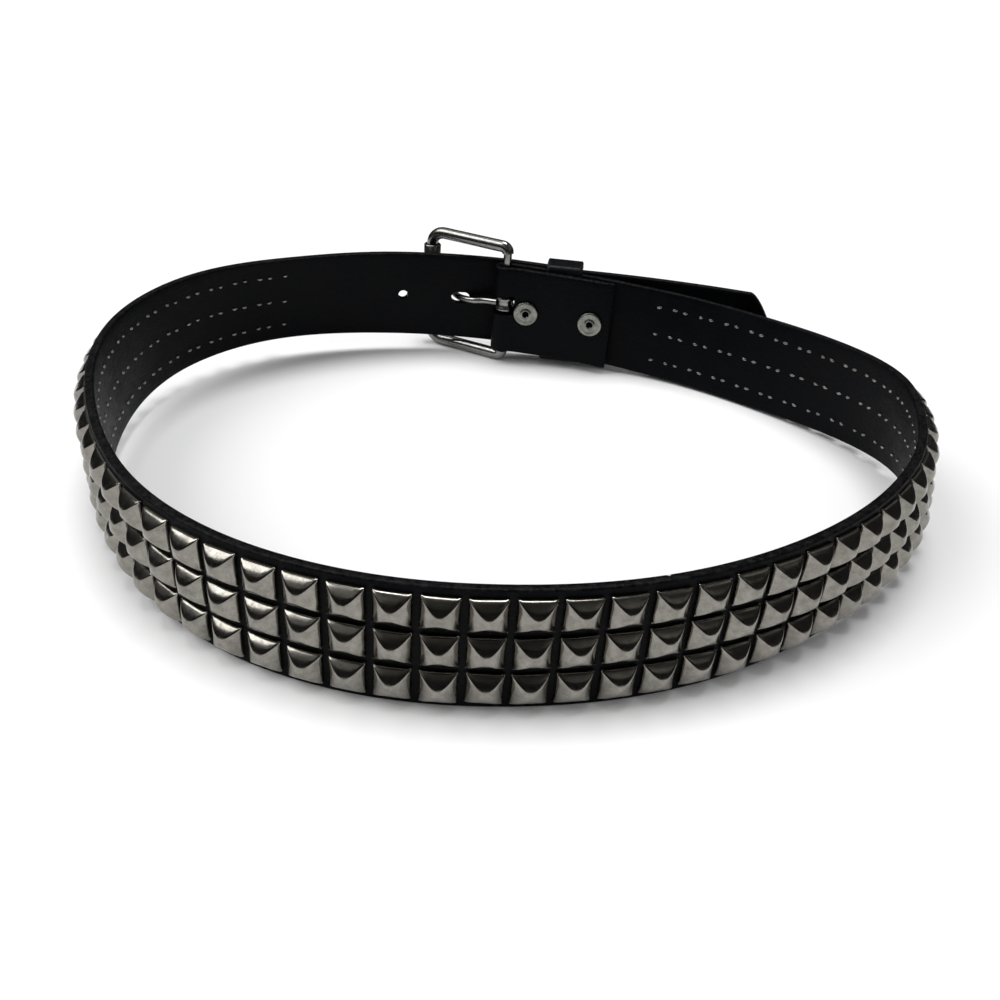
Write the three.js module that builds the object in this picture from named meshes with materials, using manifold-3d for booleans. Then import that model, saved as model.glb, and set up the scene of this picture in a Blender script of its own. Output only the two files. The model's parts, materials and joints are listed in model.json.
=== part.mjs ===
// Leather belt with three rows of pyramid studs and a roller buckle, buckled and standing on its edge.
// Millimetres, +Z up. The studded front faces -Y, the buckle is at the back (+Y).
import * as THREE from 'three';
import { mergeVertices } from 'three/addons/utils/BufferGeometryUtils.js';
import Module from 'manifold-3d';

const wasm = await Module();
wasm.setup();

// Strap
const strapWidth = 38;
const strapThickness = 2.9;
const loopLength = 792.8;
const tailLength = 116;
const tailSpring = 3;
const tailTurn = 14;
const tipLength = 12;
const tipBluntHeight = 5;
const tipRound = 1.5;
const flapLength = 47;
const seatClearance = 0.3;
const foldSettle = 1.8;

// Studs, counted along the strap from the buckle's bar
const studColumns = 56;
const studRows = 3;
const studPitch = 11.3;
const rowPitch = 11.7;
const studSide = 9.7;
const studRimHeight = 1.1;
const studHeight = 4.3;
const studSwellReach = 0.5;
const studSwellHeight = 0.62;
const studStart = 64.6;

// Holes of the free end and the worn slot that the prong goes through
const holeDiameter = 4.2;
const holePitch = 25.4;
const holesPastProng = 3;
const holesBeforeProng = 1;
const prongHoleReach = 20;
const prongHoleLength = 13;
const prongHoleWidth = 5;

// Buckle frame with its bar, roller and prong
const frameWireDiameter = 5;
const frameInsideHeight = 44;
const frameReach = 34;
const frameSplay = 15.5;
const frameCornerRadius = 5.5;
const frameLift = 2.2;
const barDiameter = 3.6;
const rollerWall = 0.9;
const rollerLength = 37.6;
const prongDiameter = 3.4;
const prongRingWidth = 7;
const prongRingWall = 1.8;
const prongTipPast = 3;
// The prong's bends. reach: share of the way to its hole or to the roller; out: share of the free
// end's seat or of the roller's; drop: share of the frame's lift
const prongBelowStrap = [
  { reach: 0.45, out: 0.10, drop: 0.3 },
  { reach: 0.72, out: 0.28, drop: 0.6 },
  { reach: 1.00, out: 1.00, drop: 0.8 },
];
const prongOverStrap = [
  { reach: 0.80, out: 0.84 },
  { reach: 1.00, out: 1.00 },
];
const prongTipRise = 0.7;

// Snaps that close the folded end, and the keeper, a little past the middle between them
const snapDiameter = 10.6;
const snapPostDiameter = 4.2;
const snapBoreDiameter = 2.6;
const snapFlange = 1.1;
const snapCap = 1.4;
const snapCapTaper = 0.8;
const snapFlangeTaper = 0.84;
const snapFirst = 9.6;
const snapSpacing = 28.6;
const keeperWidth = 15.5;
const keeperPastMiddle = 0.6;
const keeperThickness = 1.7;
const keeperHeadroom = 1.1;
const keeperClearance = 0.5;
const keeperCornerRadius = 2;
const keeperInnerRadius = 1;

// The way the strap stands, section by section from the buckle's bar and back to it.
// length: share of the loop; turn: degrees; rise: of the lower edge, as a share of the buckle's;
// lean: degrees, top edge outwards
const sections = [
  { length: 0.0315, turn: 3.9, rise: 0.76, lean: -1.0 },
  { length: 0.0499, turn: 10.6, rise: 0.28, lean: 5.5 },
  { length: 0.0570, turn: 21.9, rise: 0.08, lean: 8.4 },
  { length: 0.0570, turn: 18.4, rise: 0.46, lean: -2.1 },
  { length: 0.0570, turn: 39.9, rise: 0.94, lean: -12.4 },
  { length: 0.0570, turn: 26.1, rise: 0.54, lean: -5.5 },
  { length: 0.0570, turn: 16.3, rise: 0.32, lean: -0.6 },
  { length: 0.0713, turn: 19.5, rise: 0.00, lean: 0.0 },
  { length: 0.0713, turn: 19.3, rise: 0.00, lean: 0.0 },
  { length: 0.0713, turn: 25.2, rise: 0.00, lean: 0.0 },
  { length: 0.0713, turn: 30.6, rise: 0.32, lean: 2.1 },
  { length: 0.0570, turn: 14.7, rise: 0.66, lean: 0.5 },
  { length: 0.0570, turn: 21.6, rise: 1.11, lean: 0.2 },
  { length: 0.0570, turn: 30.5, rise: 1.47, lean: -6.6 },
  { length: 0.0570, turn: 28.1, rise: 1.43, lean: -11.9 },
  { length: 0.0570, turn: 16.9, rise: 1.29, lean: -5.4 },
  { length: 0.0634, turn: 16.2, rise: 1.00, lean: 0.0 },
];
const startHeading = -1.0;

// Facets
const planSteps = 800;
const flapSteps = 9;
const bendSteps = 10;
const tipSteps = 3;
const roundSides = 16;
const barSides = 12;
const wireSides = 10;
const wireSteps = 44;
const prongSides = 8;
const prongSteps = 22;
const holeSegments = 6;
const cornerSegments = 3;

// Fits that follow from the sizes above
const halfWidth = strapWidth / 2;
const foldRadius = barDiameter / 2 + seatClearance;
const layerSpace = keeperThickness + 2 * keeperClearance;
const lapSeat = strapThickness + snapCap + 2 * seatClearance;
const frameOutsideHalf = frameInsideHeight / 2 + frameWireDiameter;
const buckleRise = frameOutsideHalf - frameLift - halfWidth;
const frameSide = frameInsideHeight / 2 + frameWireDiameter / 2;
const barCornerRadius = frameSide - halfWidth - frameLift - 3 * seatClearance;
const farBarOut = frameSplay - foldRadius;
const rollerBore = frameWireDiameter / 2 + seatClearance;
const rollerRadius = rollerBore + rollerWall;
const ringBore = foldRadius;
const ringRadius = ringBore + prongRingWall;
const snapSecond = snapFirst + snapSpacing;
const keeperMiddle = snapFirst + snapSpacing / 2 + keeperPastMiddle;
const keeperEnd = keeperMiddle + keeperWidth / 2;
const cutDepth = 3 * strapThickness;

const smooth = (t) => THREE.MathUtils.smoothstep(t, 0, 1);

// Plan of the strap's inside face: arcs laid end to end, closed with the lap outside the start
function layPlan() {
  const total = sections.reduce((sum, row) => sum + row.turn, 0);
  const shares = sections.reduce((sum, row) => sum + row.length, 0);
  const step = loopLength / planSteps;
  const points = [];
  let x = 0;
  let y = 0;
  let heading = THREE.MathUtils.degToRad(startHeading);
  for (const row of sections) {
    const length = row.length / shares * loopLength;
    const turn = THREE.MathUtils.degToRad(row.turn * 360 / total);
    const count = Math.max(2, Math.round(length / step));
    for (let i = 0; i < count; i++) {
      points.push({ x, y, heading });
      const middle = heading - turn / count / 2;
      x += Math.cos(middle) * length / count;
      y += Math.sin(middle) * length / count;
      heading -= turn / count;
    }
  }
  points.push({ x, y, heading });
  const start = points[0];
  const missX = start.x - Math.sin(start.heading) * lapSeat - x;
  const missY = start.y + Math.cos(start.heading) * lapSeat - y;
  points.forEach((point, i) => {
    const share = i / (points.length - 1);
    point.x += missX * share;
    point.y += missY * share;
  });
  return points;
}
const plan = layPlan();

// Rise and lean between the rows of the table
const rowEnds = sections.reduce((ends, row) => [...ends, ends[ends.length - 1] + row.length], [0]);
const lastEnd = rowEnds[rowEnds.length - 1];
const rowPlaces = rowEnds.map((end) => end / lastEnd);
const riseCurve = new THREE.CubicInterpolant(rowPlaces, [1, ...sections.map((row) => row.rise)], 1);
const leanCurve = new THREE.CubicInterpolant(rowPlaces, [0, ...sections.map((row) => row.lean)], 1);

// The strap's own frame at a distance from the bar: along the strap, outwards, and up its width
function frameAt(distance) {
  const share = THREE.MathUtils.clamp(distance / loopLength, 0, 1);
  const place = share * (plan.length - 1);
  const index = Math.min(Math.floor(place), plan.length - 2);
  const a = plan[index];
  const b = plan[index + 1];
  const mix = place - index;
  const heading = THREE.MathUtils.lerp(a.heading, b.heading, mix);
  const lean = THREE.MathUtils.degToRad(leanCurve.evaluate(share)[0]);
  const rise = riseCurve.evaluate(share)[0] * buckleRise;
  const along = new THREE.Vector3(Math.cos(heading), Math.sin(heading), 0);
  const level = new THREE.Vector3(-along.y, along.x, 0);
  const outward = level.clone().multiplyScalar(Math.cos(lean));
  outward.z = -Math.sin(lean);
  const up = level.clone().multiplyScalar(Math.sin(lean));
  up.z = Math.cos(lean);
  const x = THREE.MathUtils.lerp(a.x, b.x, mix);
  const y = THREE.MathUtils.lerp(a.y, b.y, mix);
  return { origin: new THREE.Vector3(x, y, rise + halfWidth), along, outward, up };
}
function pointIn(frame, along, out, up) {
  return frame.origin.clone()
    .addScaledVector(frame.along, along)
    .addScaledVector(frame.outward, out)
    .addScaledVector(frame.up, up);
}
function matrixIn(frame, along, out, up) {
  const matrix = new THREE.Matrix4().makeBasis(frame.along, frame.outward, frame.up);
  return matrix.setPosition(pointIn(frame, along, out, up));
}

// The free end lies outside the strap, over the snaps' caps. Past the keeper it springs away from
// the loop and runs on nearly straight, so its frame there is its own
function tailFrameAt(distance) {
  const frame = frameAt(Math.min(distance, keeperEnd));
  frame.origin = pointIn(frame, 0, lapSeat, 0);
  const free = Math.max(0, distance - keeperEnd);
  if (free === 0) return frame;
  const upright = new THREE.Vector3(0, 0, 1);
  const turn = THREE.MathUtils.degToRad(tailTurn) * free / (tailLength - keeperEnd);
  const spring = THREE.MathUtils.degToRad(tailSpring);
  const chord = frame.along.clone().applyAxisAngle(upright, spring - turn / 2);
  frame.origin.addScaledVector(chord, free);
  for (const axis of [frame.along, frame.outward, frame.up]) axis.applyAxisAngle(upright, spring - turn);
  return frame;
}
// The folded end lies inside the strap: round the bar, then with room for the keeper
function flapSpace(distance) {
  return THREE.MathUtils.lerp(2 * foldRadius, layerSpace, smooth(distance / (foldRadius * foldSettle)));
}

// Closed solids and booleans
function solidOf(geometry) {
  const bare = geometry.clone();
  bare.deleteAttribute('normal');
  bare.deleteAttribute('uv');
  const merged = mergeVertices(bare, 1e-4);
  const position = merged.attributes.position;
  const corners = [0, 1, 2].map(() => new THREE.Vector3());
  const triangles = [];
  let volume = 0;
  for (let i = 0; i < merged.index.count; i += 3) {
    const ids = [0, 1, 2].map((k) => merged.index.getX(i + k));
    if (ids[0] === ids[1] || ids[1] === ids[2] || ids[2] === ids[0]) continue;
    corners.forEach((corner, k) => corner.fromBufferAttribute(position, ids[k]));
    volume += corners[0].dot(corners[1].clone().cross(corners[2]));
    triangles.push(ids);
  }
  if (volume < 0) triangles.forEach((ids) => ids.reverse());
  const mesh = new wasm.Mesh({
    numProp: 3,
    vertProperties: new Float32Array(position.array),
    triVerts: new Uint32Array(triangles.flat()),
  });
  return new wasm.Manifold(mesh);
}
function geometryOf(solid) {
  const mesh = solid.getMesh();
  const geometry = new THREE.BufferGeometry();
  geometry.setAttribute('position', new THREE.BufferAttribute(new Float32Array(mesh.vertProperties), 3));
  geometry.setIndex(new THREE.BufferAttribute(new Uint32Array(mesh.triVerts), 1));
  geometry.computeVertexNormals();
  return geometry;
}
function placed(geometry, matrix) {
  return solidOf(geometry.clone().applyMatrix4(matrix));
}
function pieceFrom(name, solid, material) {
  const piece = new THREE.Mesh(geometryOf(solid), material);
  piece.name = name;
  return piece;
}
// A round bar whose axis runs across the strap
function acrossBar(radius, length, sides) {
  return new THREE.CylinderGeometry(radius, radius, length, sides).rotateX(Math.PI / 2);
}

// Strap: one band from the flap's end, round the bar, round the loop and on to the tip
function strapStations() {
  const stations = [];
  const add = (frame, along, out, rimAlong, rimOut, half = halfWidth) => {
    stations.push({ frame, inside: [along, out], outside: [rimAlong, rimOut], half });
  };
  for (let i = flapSteps; i > 0; i--) {
    const distance = flapLength * i / flapSteps;
    const frame = frameAt(distance);
    const space = flapSpace(distance);
    add(frame, 0, -space, 0, -space - strapThickness);
  }
  const start = frameAt(0);
  for (let i = 0; i < bendSteps; i++) {
    const angle = Math.PI * (1 - i / bendSteps);
    const reach = (radius) => [-Math.sin(angle) * radius, -foldRadius + Math.cos(angle) * radius];
    add(start, ...reach(foldRadius), ...reach(foldRadius + strapThickness));
  }
  const studEnd = studStart + studColumns * studPitch;
  const stretches = [
    [0, studStart, Math.round(studStart / studPitch)],
    [studStart, studEnd, studColumns],
    [studEnd, loopLength, Math.round((loopLength - studEnd) / studPitch)],
  ];
  for (const [from, to, steps] of stretches) {
    for (let i = 0; i < steps; i++) {
      add(frameAt(THREE.MathUtils.lerp(from, to, i / steps)), 0, 0, 0, strapThickness);
    }
  }
  add(frameAt(loopLength), 0, 0, 0, strapThickness);
  const tipStart = tailLength - tipLength;
  const tailSteps = Math.round(tipStart / studPitch);
  for (let i = 1; i <= tailSteps; i++) {
    add(tailFrameAt(tipStart * i / tailSteps), 0, 0, 0, strapThickness);
  }
  for (let i = 1; i <= tipSteps; i++) {
    const share = i / tipSteps;
    const half = THREE.MathUtils.lerp(halfWidth, tipBluntHeight / 2, share ** tipRound);
    add(tailFrameAt(tipStart + tipLength * share), 0, 0, 0, strapThickness, half);
  }
  return stations;
}
function strapBand() {
  const stations = strapStations();
  const steps = stations.length - 1;
  const band = new THREE.BoxGeometry(1, 1, 1, steps, 1, 1);
  const position = band.attributes.position;
  for (let i = 0; i < position.count; i++) {
    const station = stations[Math.round((position.getX(i) + 0.5) * steps)];
    const [along, out] = position.getY(i) > 0 ? station.outside : station.inside;
    const up = Math.sign(position.getZ(i)) * station.half;
    const point = pointIn(station.frame, along, out, up);
    position.setXYZ(i, point.x, point.y, point.z);
  }
  return solidOf(band);
}

// A pyramid stud: a low upright rim, then faces that swell a little towards the point
function studGeometry() {
  const corner = studSide / 2 * Math.SQRT2;
  const sink = strapThickness / 5;
  const swell = THREE.MathUtils.lerp(studRimHeight, studHeight, studSwellHeight);
  const profile = [
    new THREE.Vector2(0, -sink),
    new THREE.Vector2(corner, -sink),
    new THREE.Vector2(corner, studRimHeight),
    new THREE.Vector2(corner * studSwellReach, swell),
    new THREE.Vector2(0, studHeight),
  ];
  return new THREE.LatheGeometry(profile, 4).rotateY(Math.PI / 4);
}
function studField() {
  const stud = studGeometry();
  const studs = [];
  for (let column = 0; column < studColumns; column++) {
    const frame = frameAt(studStart + (column + 0.5) * studPitch);
    for (let row = 0; row < studRows; row++) {
      const up = ((studRows - 1) / 2 - row) * rowPitch;
      studs.push(placed(stud, matrixIn(frame, 0, strapThickness, up)));
    }
  }
  return studs;
}

// Cuts through the strap
function punch(frame, out, radius, length = 0) {
  const shape = new THREE.Shape();
  shape.absarc(length / 2, 0, radius, -Math.PI / 2, Math.PI / 2);
  shape.absarc(-length / 2, 0, radius, Math.PI / 2, Math.PI * 1.5);
  const options = { depth: cutDepth, bevelEnabled: false, curveSegments: holeSegments };
  const cutter = new THREE.ExtrudeGeometry(shape, options).rotateX(-Math.PI / 2);
  return placed(cutter, matrixIn(frame, 0, out + (strapThickness - cutDepth) / 2, 0));
}
function strapCuts() {
  const cuts = [];
  for (let i = -holesBeforeProng; i <= holesPastProng; i++) {
    const distance = loopLength - prongHoleReach + i * holePitch;
    const past = distance - loopLength;
    const frame = past < 0 ? frameAt(distance) : tailFrameAt(past);
    const width = i === 0 ? prongHoleWidth : holeDiameter;
    cuts.push(punch(frame, 0, width / 2, i === 0 ? prongHoleLength - width : 0));
  }
  for (const distance of [snapFirst, snapSecond]) {
    for (const out of [0, -layerSpace - strapThickness]) {
      cuts.push(punch(frameAt(distance), out, snapPostDiameter / 2 + seatClearance));
    }
  }
  const reach = ringRadius + seatClearance;
  const outer = foldRadius + strapThickness + seatClearance;
  const height = prongRingWidth + 4 * seatClearance;
  const slot = new THREE.BoxGeometry(reach + outer, 2 * outer, height);
  slot.translate((reach - outer) / 2, 0, 0);
  cuts.push(placed(slot, matrixIn(frameAt(0), 0, -foldRadius, frameLift)));
  return cuts;
}
function studdedStrap(material) {
  let strap = strapBand();
  for (const cut of strapCuts()) strap = strap.subtract(cut);
  for (const stud of studField()) strap = strap.add(stud);
  return pieceFrom('studded_strap', strap, material);
}

// Buckle. Its own frame stands on the bar: first value away from the strap, second outwards
const buckle = frameAt(0);
const inBuckle = (away, out, up) => pointIn(buckle, -away, out, up + frameLift);
const splayOut = (away) => -foldRadius + away / frameReach * frameSplay;

// A wire laid along points given in the buckle's frame
function wireAlong(places, radius, sides, steps) {
  const curve = new THREE.CatmullRomCurve3(places.map((place) => inBuckle(...place)), false, 'centripetal');
  const section = new THREE.Shape(
    Array.from({ length: sides }, (_, i) => {
      const angle = Math.PI * 2 * i / sides;
      return new THREE.Vector2(Math.cos(angle) * radius, Math.sin(angle) * radius);
    }),
  );
  return solidOf(new THREE.ExtrudeGeometry(section, { steps, extrudePath: curve, bevelEnabled: false }));
}

// One bent wire for three sides and the corners, and a thinner bar that the strap folds round
function buckleFrame(material) {
  const quarter = [0, 1, 2, 3, 4].map((i) => Math.PI / 2 * i / 4);
  const nearCorner = quarter.map((angle) => [
    barCornerRadius * (1 - Math.cos(angle)),
    frameSide - barCornerRadius * (1 - Math.sin(angle)),
  ]);
  const farCorner = quarter.map((angle) => [
    frameReach - frameCornerRadius * (1 - Math.sin(angle)),
    frameSide - frameCornerRadius * (1 - Math.cos(angle)),
  ]);
  const thirds = (from, to) => [1, 2].map((i) => THREE.MathUtils.lerp(from, to, i / 3));
  const sideRun = thirds(barCornerRadius, frameReach - frameCornerRadius).map((away) => [away, frameSide]);
  const upper = [...nearCorner, ...sideRun, ...farCorner];
  const lower = upper.map(([away, up]) => [away, -up]).reverse();
  const farEnd = frameSide - frameCornerRadius;
  const farRun = thirds(farEnd, -farEnd).map((up) => [frameReach, up]);
  const places = [...upper, ...farRun, ...lower].map(([away, up]) => [away, splayOut(away), up]);
  const bow = wireAlong(places, frameWireDiameter / 2, wireSides, wireSteps);
  const barShape = acrossBar(barDiameter / 2, 2 * frameSide, barSides);
  const bar = placed(barShape, matrixIn(buckle, 0, -foldRadius, frameLift));
  return pieceFrom('buckle_frame', bow.add(bar), material);
}

// A thin tube that turns freely on the frame's far side
function roller(material) {
  const half = rollerLength / 2;
  const profile = [
    new THREE.Vector2(rollerBore, -half),
    new THREE.Vector2(rollerRadius, -half),
    new THREE.Vector2(rollerRadius, half),
    new THREE.Vector2(rollerBore, half),
    new THREE.Vector2(rollerBore, -half),
  ];
  const tube = new THREE.LatheGeometry(profile, roundSides).rotateX(Math.PI / 2);
  return pieceFrom('roller', placed(tube, matrixIn(buckle, -frameReach, farBarOut, frameLift)), material);
}

// A ring round the bar and a tongue that passes out through the worn hole and over the roller
function prong(material) {
  const half = prongRingWidth / 2;
  const profile = [
    new THREE.Vector2(ringBore, -half),
    new THREE.Vector2(ringRadius, -half),
    new THREE.Vector2(ringRadius, half),
    new THREE.Vector2(ringBore, half),
    new THREE.Vector2(ringBore, -half),
  ];
  const ring = new THREE.LatheGeometry(profile, roundSides).rotateX(Math.PI / 2);
  const radius = prongDiameter / 2;
  const restOut = farBarOut + rollerRadius + seatClearance + radius;
  const wall = (ringBore + ringRadius) / 2;
  const places = [
    [wall, -foldRadius, 0],
    ...prongBelowStrap.map((at) => [prongHoleReach * at.reach, lapSeat * at.out, -frameLift * at.drop]),
    ...prongOverStrap.map((at) => [frameReach * at.reach, restOut * at.out, -frameLift]),
    [frameReach + rollerRadius + prongTipPast, restOut + prongTipRise, -frameLift],
  ];
  const tongue = wireAlong(places, radius, prongSides, prongSteps);
  const solid = placed(ring, matrixIn(buckle, 0, -foldRadius, frameLift)).add(tongue);
  return pieceFrom('prong', solid, material);
}

// A two-part snap through both layers, hollow at its middle on the inside
function snap(name, distance, material) {
  const post = snapPostDiameter / 2;
  const bore = snapBoreDiameter / 2;
  const flange = snapDiameter / 2;
  const inside = -layerSpace - strapThickness - 1.5 * seatClearance;
  const outside = strapThickness + seatClearance;
  const profile = [
    new THREE.Vector2(0, outside),
    new THREE.Vector2(bore, outside),
    new THREE.Vector2(bore, inside - snapFlange),
    new THREE.Vector2(flange * snapFlangeTaper, inside - snapFlange),
    new THREE.Vector2(flange, inside - snapFlange / 2),
    new THREE.Vector2(flange, inside),
    new THREE.Vector2(post, inside),
    new THREE.Vector2(post, outside),
    new THREE.Vector2(flange, outside),
    new THREE.Vector2(flange * snapCapTaper, outside + snapCap - seatClearance),
    new THREE.Vector2(0, outside + snapCap - seatClearance),
  ];
  const lathe = new THREE.LatheGeometry(profile, roundSides);
  return pieceFrom(name, placed(lathe, matrixIn(frameAt(distance), 0, 0, 0)), material);
}

// A leather loop between the snaps: its inside leg lies between the strap and the folded end
function keeper(material) {
  const insideOut = -keeperClearance;
  const outsideOut = lapSeat + strapThickness + keeperClearance;
  const inner = {
    low: insideOut,
    high: outsideOut,
    half: halfWidth + keeperHeadroom,
    radius: keeperInnerRadius,
  };
  const outer = {
    low: insideOut - keeperThickness,
    high: outsideOut + keeperThickness,
    half: inner.half + keeperThickness,
    radius: keeperCornerRadius,
  };
  const outline = ({ low, high, half, radius }, target) => {
    target.absarc(high - radius, half - radius, radius, 0, Math.PI / 2);
    target.absarc(low + radius, half - radius, radius, Math.PI / 2, Math.PI);
    target.absarc(low + radius, -half + radius, radius, Math.PI, Math.PI * 1.5);
    target.absarc(high - radius, -half + radius, radius, Math.PI * 1.5, Math.PI * 2);
    return target;
  };
  const shape = outline(outer, new THREE.Shape());
  shape.holes.push(outline(inner, new THREE.Path()));
  const options = { depth: keeperWidth, bevelEnabled: false, curveSegments: cornerSegments };
  const band = new THREE.ExtrudeGeometry(shape, options);
  band.translate(0, 0, -keeperWidth / 2);
  const turn = new THREE.Matrix4().makeBasis(
    new THREE.Vector3(0, 1, 0),
    new THREE.Vector3(0, 0, 1),
    new THREE.Vector3(1, 0, 0),
  );
  band.applyMatrix4(turn);
  return pieceFrom('keeper', placed(band, matrixIn(frameAt(keeperMiddle), 0, 0, 0)), material);
}

const leather = new THREE.MeshStandardMaterial({ color: 0x15161a, roughness: 0.55, metalness: 0 });
const nickel = new THREE.MeshStandardMaterial({ color: 0xb9b5ad, roughness: 0.28, metalness: 1 });

const belt = new THREE.Group();
belt.add(
  studdedStrap(leather),
  buckleFrame(nickel),
  roller(nickel),
  prong(nickel),
  snap('snap_first', snapFirst, nickel),
  snap('snap_second', snapSecond, nickel),
  keeper(leather),
);

const box = new THREE.Box3().setFromObject(belt);
const centre = box.getCenter(new THREE.Vector3());
belt.position.set(-centre.x, -centre.y, -box.min.z);

export default belt;
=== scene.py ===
# A black leather belt with three rows of pyramid studs and a roller buckle, standing buckled on its edge.
import json
import math

import bpy
import numpy as np
from mathutils import Matrix, Vector

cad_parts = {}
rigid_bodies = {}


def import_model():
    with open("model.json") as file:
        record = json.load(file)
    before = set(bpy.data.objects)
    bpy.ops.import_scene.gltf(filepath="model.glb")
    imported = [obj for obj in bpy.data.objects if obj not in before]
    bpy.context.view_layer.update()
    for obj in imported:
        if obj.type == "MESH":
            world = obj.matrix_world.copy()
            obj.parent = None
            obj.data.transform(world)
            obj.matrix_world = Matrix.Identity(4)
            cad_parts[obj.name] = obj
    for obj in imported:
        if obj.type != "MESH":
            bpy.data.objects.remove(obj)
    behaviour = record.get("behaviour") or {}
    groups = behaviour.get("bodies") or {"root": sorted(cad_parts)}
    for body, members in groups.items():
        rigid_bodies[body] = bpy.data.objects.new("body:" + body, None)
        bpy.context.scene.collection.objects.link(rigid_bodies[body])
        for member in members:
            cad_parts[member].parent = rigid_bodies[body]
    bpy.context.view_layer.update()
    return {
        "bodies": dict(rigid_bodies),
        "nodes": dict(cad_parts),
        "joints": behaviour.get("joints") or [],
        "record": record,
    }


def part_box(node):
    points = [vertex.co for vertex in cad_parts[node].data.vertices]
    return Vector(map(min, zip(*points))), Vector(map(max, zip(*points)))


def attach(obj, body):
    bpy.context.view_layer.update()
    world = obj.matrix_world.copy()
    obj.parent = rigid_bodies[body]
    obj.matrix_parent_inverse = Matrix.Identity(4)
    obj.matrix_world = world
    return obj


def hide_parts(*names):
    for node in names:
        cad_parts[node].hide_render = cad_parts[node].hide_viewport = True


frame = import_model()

scene = bpy.context.scene
rng = np.random.default_rng(11)

# Sizes in millimetres, the same as the solids'
STRAP_WIDTH = 38
STRAP_THICKNESS = 2.9
LOOP_LENGTH = 792.8
TAIL_LENGTH = 116
TAIL_SPRING = math.radians(3)
TAIL_TURN = math.radians(14)
TIP_LENGTH = 12
TIP_BLUNT_HEIGHT = 5
TIP_ROUND = 1.5
FLAP_LENGTH = 47
SEAT_CLEARANCE = 0.3
FOLD_SETTLE = 1.8

STUD_COLUMNS = 56
STUD_ROWS = 3
STUD_PITCH = 11.3
ROW_PITCH = 11.7
STUD_SIDE = 9.7
STUD_RIM_HEIGHT = 1.1
STUD_HEIGHT = 4.3
STUD_START = 64.6

HOLE_DIAMETER = 4.2
HOLE_PITCH = 25.4
HOLES_PAST_PRONG = 3
HOLES_BEFORE_PRONG = 1
PRONG_HOLE_REACH = 20
WORN_SLOT_LENGTH = 8.2
PRONG_HOLE_WIDTH = 5

FRAME_WIRE_DIAMETER = 5
FRAME_INSIDE_HEIGHT = 44
FRAME_REACH = 34
FRAME_SPLAY = 15.5
FRAME_CORNER_RADIUS = 5.5
FRAME_LIFT = 2.2
BAR_DIAMETER = 3.6
ROLLER_WALL = 0.9
ROLLER_LENGTH = 37.6
PRONG_DIAMETER = 3.4
# The tongue as drawn is a little slimmer than the solid
PRONG_SLIMNESS = 0.88
PRONG_RING_WIDTH = 7
PRONG_RING_WALL = 1.8
PRONG_TIP_PAST = 3
PRONG_TIP_RISE = 0.7
# reach: share of the way to the hole or to the roller; out: share of the free end's seat or of the
# roller's; drop: share of the frame's lift
PRONG_BELOW_STRAP = [
    {"reach": 0.45, "out": 0.10, "drop": 0.3},
    {"reach": 0.72, "out": 0.28, "drop": 0.6},
    {"reach": 1.00, "out": 1.00, "drop": 0.8},
]
PRONG_OVER_STRAP = [
    {"reach": 0.80, "out": 0.84},
    {"reach": 1.00, "out": 1.00},
]

SNAP_DIAMETER = 10.6
SNAP_POST_DIAMETER = 4.2
SNAP_BORE_DIAMETER = 2.6
SNAP_FLANGE = 1.1
SNAP_CAP = 1.4
SNAP_FIRST = 9.6
SNAP_SPACING = 28.6
KEEPER_WIDTH = 15.5
KEEPER_PAST_MIDDLE = 0.6
KEEPER_THICKNESS = 1.7
KEEPER_HEADROOM = 1.1
KEEPER_CLEARANCE = 0.5
KEEPER_CORNER_RADIUS = 2
KEEPER_INNER_RADIUS = 1

# The way the strap stands, section by section from the buckle's bar and back to it.
# length: share of the loop; turn: degrees; rise: of the lower edge, as a share of the buckle's;
# lean: degrees, top edge outwards
SECTIONS = [
    {"length": 0.0315, "turn": 3.9, "rise": 0.76, "lean": -1.0},
    {"length": 0.0499, "turn": 10.6, "rise": 0.28, "lean": 5.5},
    {"length": 0.0570, "turn": 21.9, "rise": 0.08, "lean": 8.4},
    {"length": 0.0570, "turn": 18.4, "rise": 0.46, "lean": -2.1},
    {"length": 0.0570, "turn": 39.9, "rise": 0.94, "lean": -12.4},
    {"length": 0.0570, "turn": 26.1, "rise": 0.54, "lean": -5.5},
    {"length": 0.0570, "turn": 16.3, "rise": 0.32, "lean": -0.6},
    {"length": 0.0713, "turn": 19.5, "rise": 0.00, "lean": 0.0},
    {"length": 0.0713, "turn": 19.3, "rise": 0.00, "lean": 0.0},
    {"length": 0.0713, "turn": 25.2, "rise": 0.00, "lean": 0.0},
    {"length": 0.0713, "turn": 30.6, "rise": 0.32, "lean": 2.1},
    {"length": 0.0570, "turn": 14.7, "rise": 0.66, "lean": 0.5},
    {"length": 0.0570, "turn": 21.6, "rise": 1.11, "lean": 0.2},
    {"length": 0.0570, "turn": 30.5, "rise": 1.47, "lean": -6.6},
    {"length": 0.0570, "turn": 28.1, "rise": 1.43, "lean": -11.9},
    {"length": 0.0570, "turn": 16.9, "rise": 1.29, "lean": -5.4},
    {"length": 0.0634, "turn": 16.2, "rise": 1.00, "lean": 0.0},
]
START_HEADING = math.radians(-1.0)
PLAN_STEPS = 800

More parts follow.
